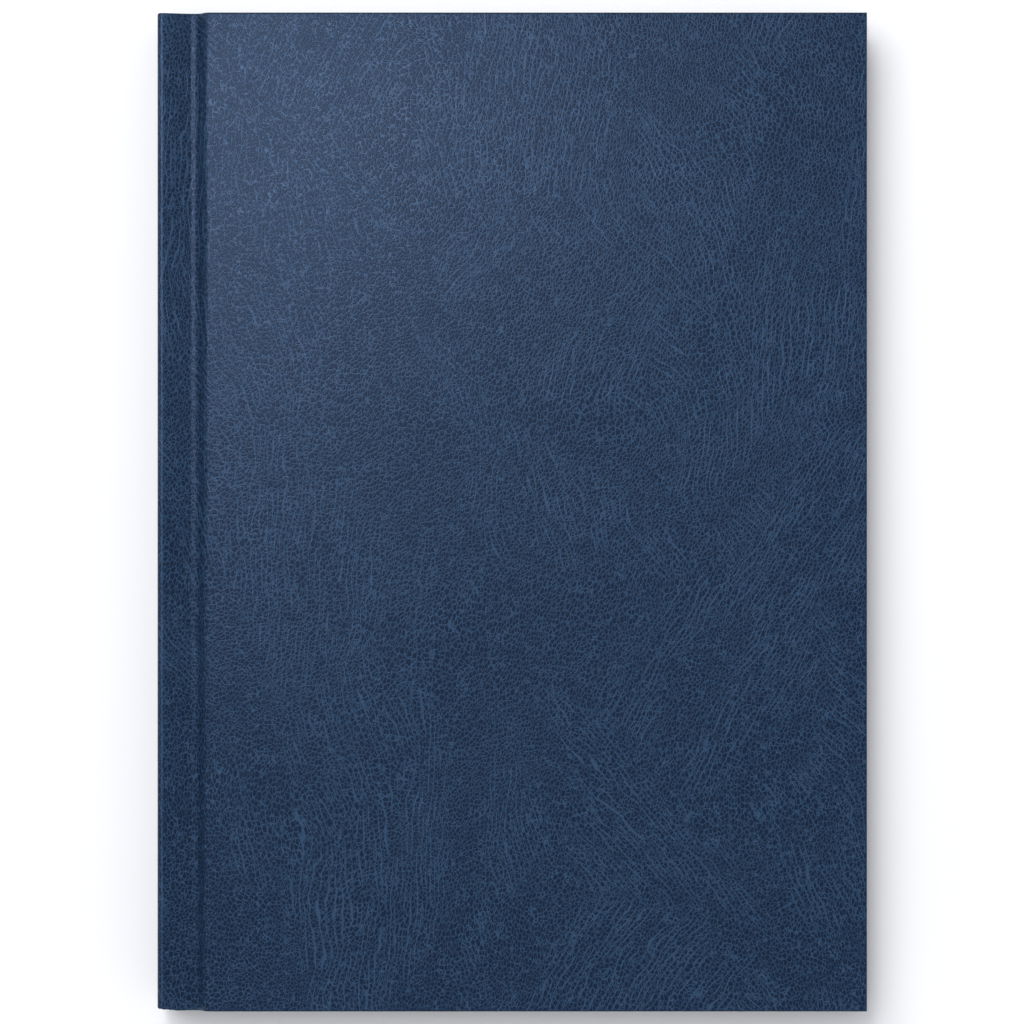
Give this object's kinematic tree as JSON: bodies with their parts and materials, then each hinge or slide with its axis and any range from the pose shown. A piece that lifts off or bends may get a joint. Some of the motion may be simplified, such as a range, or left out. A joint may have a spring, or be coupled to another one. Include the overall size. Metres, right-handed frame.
{
  "type": "pilot logbook",
  "caption": "Hardback logbook in dark blue grained leatherette, case bound with pressed hinge grooves; the covers and front leaves open",
  "frame": {"origin": "middle of the footprint, on the table that the back cover lies on", "axes": "X from the spine to the fore edge, Y from tail to head, Z from the back cover to the front cover"},
  "size_m": [0.1536, 0.216, 0.0187],
  "materials": {
    "leatherette": "dark navy leatherette with a fine creased grain and a soft sheen",
    "greyboard": "matte grey millboard",
    "endpaper": "smooth matte cream endpaper",
    "kraft_paper": "matte brown kraft paper",
    "mull": "open weave cotton mull",
    "thread": "waxed linen thread",
    "headband": "woven band striped blue and white",
    "page_paper": "smooth matte off-white writing paper"
  },
  "bodies": {
    "back_cover": {"back_board": "greyboard", "back_cover_skin": "leatherette", "back_fill_in": "kraft_paper", "back_mull_flap": "mull", "back_pastedown": "endpaper"},
    "text_block": {"spine_board": "greyboard", "spine_skin": "leatherette", "spine_lining": "kraft_paper", "spine_mull": "mull", "sewing_chain_1": "thread", "sewing_chain_2": "thread", "sewing_chain_3": "thread", "sewing_chain_4": "thread", "headband": "headband", "tailband": "headband", "section_01_fold": "page_paper", "section_02": "page_paper", "section_03": "page_paper", "section_04": "page_paper", "section_05": "page_paper", "section_06": "page_paper", "section_07": "page_paper", "section_08": "page_paper", "section_09": "page_paper", "section_10": "page_paper", "section_11": "page_paper", "section_12": "page_paper", "front_endpaper_root": "endpaper", "back_endpaper_root": "endpaper", "back_joint_skin": "leatherette", "back_inner_hinge": "endpaper", "front_joint_skin": "leatherette", "front_inner_hinge": "endpaper"},
    "front_cover": {"front_board": "greyboard", "front_cover_skin": "leatherette", "front_fill_in": "kraft_paper", "front_mull_flap": "mull", "front_pastedown": "endpaper"},
    "front_flyleaf": {"front_flyleaf": "endpaper"},
    "back_flyleaf": {"back_flyleaf": "endpaper"},
    "leaf_01": {"leaf_01": "page_paper"},
    "leaf_02": {"leaf_02": "page_paper"},
    "leaf_03": {"leaf_03": "page_paper"},
    "leaf_04": {"leaf_04": "page_paper"},
    "leaf_05": {"leaf_05": "page_paper"},
    "leaf_06": {"leaf_06": "page_paper"},
    "leaf_07": {"leaf_07": "page_paper"},
    "leaf_08": {"leaf_08": "page_paper"}
  },
  "joints": [
    {"name": "back_cover_hinge", "type": "hinge", "parent": "back_cover", "child": "text_block", "pos_m": [-0.0735, 0, 0.00325], "axis": [0, 1, 0], "range_deg": [-90, 0], "deforming": ["back_joint_skin", "back_inner_hinge"]},
    {"name": "front_cover_hinge", "type": "hinge", "parent": "text_block", "child": "front_cover", "pos_m": [-0.0735, 0, 0.01543], "axis": [0, -1, 0], "range_deg": [0, 178], "deforming": ["front_joint_skin", "front_inner_hinge"]},
    {"name": "front_flyleaf_hinge", "type": "hinge", "parent": "text_block", "child": "front_flyleaf", "pos_m": [-0.064, 0, 0.01538], "axis": [0, -1, 0], "range_deg": [0, 151.8]},
    {"name": "leaf_01_hinge", "type": "hinge", "parent": "text_block", "child": "leaf_01", "pos_m": [-0.064, 0, 0.01538], "axis": [0, -1, 0], "range_deg": [0, 150.6]},
    {"name": "leaf_02_hinge", "type": "hinge", "parent": "text_block", "child": "leaf_02", "pos_m": [-0.064, 0, 0.01538], "axis": [0, -1, 0], "range_deg": [0, 146.3]},
    {"name": "leaf_03_hinge", "type": "hinge", "parent": "text_block", "child": "leaf_03", "pos_m": [-0.064, 0, 0.01538], "axis": [0, -1, 0], "range_deg": [0, 138.3]},
    {"name": "leaf_04_hinge", "type": "hinge", "parent": "text_block", "child": "leaf_04", "pos_m": [-0.064, 0, 0.01538], "axis": [0, -1, 0], "range_deg": [0, 126.3]},
    {"name": "leaf_05_hinge", "type": "hinge", "parent": "text_block", "child": "leaf_05", "pos_m": [-0.064, 0, 0.01538], "axis": [0, -1, 0], "range_deg": [0, 110.3]},
    {"name": "leaf_06_hinge", "type": "hinge", "parent": "text_block", "child": "leaf_06", "pos_m": [-0.064, 0, 0.01538], "axis": [0, -1, 0], "range_deg": [0, 89.9]},
    {"name": "leaf_07_hinge", "type": "hinge", "parent": "text_block", "child": "leaf_07", "pos_m": [-0.064, 0, 0.01538], "axis": [0, -1, 0], "range_deg": [0, 64.8]},
    {"name": "leaf_08_hinge", "type": "hinge", "parent": "text_block", "child": "leaf_08", "pos_m": [-0.064, 0, 0.01538], "axis": [0, -1, 0], "range_deg": [0, 35]},
    {"name": "back_flyleaf_hinge", "type": "hinge", "parent": "text_block", "child": "back_flyleaf", "pos_m": [-0.064, 0, 0.0033], "axis": [0, 1, 0], "range_deg": [0, 41]}
  ],
  "couplings": [
    {"joint": "front_flyleaf_hinge", "follows": "front_cover_hinge", "ratio": 0.85},
    {"joint": "leaf_01_hinge", "follows": "front_cover_hinge", "ratio": 0.843},
    {"joint": "leaf_02_hinge", "follows": "front_cover_hinge", "ratio": 0.819},
    {"joint": "leaf_03_hinge", "follows": "front_cover_hinge", "ratio": 0.774},
    {"joint": "leaf_04_hinge", "follows": "front_cover_hinge", "ratio": 0.707},
    {"joint": "leaf_05_hinge", "follows": "front_cover_hinge", "ratio": 0.617},
    {"joint": "leaf_06_hinge", "follows": "front_cover_hinge", "ratio": 0.502},
    {"joint": "leaf_07_hinge", "follows": "front_cover_hinge", "ratio": 0.361},
    {"joint": "leaf_08_hinge", "follows": "front_cover_hinge", "ratio": 0.194},
    {"joint": "back_flyleaf_hinge", "follows": "back_cover_hinge", "ratio": -0.45}
  ]
}
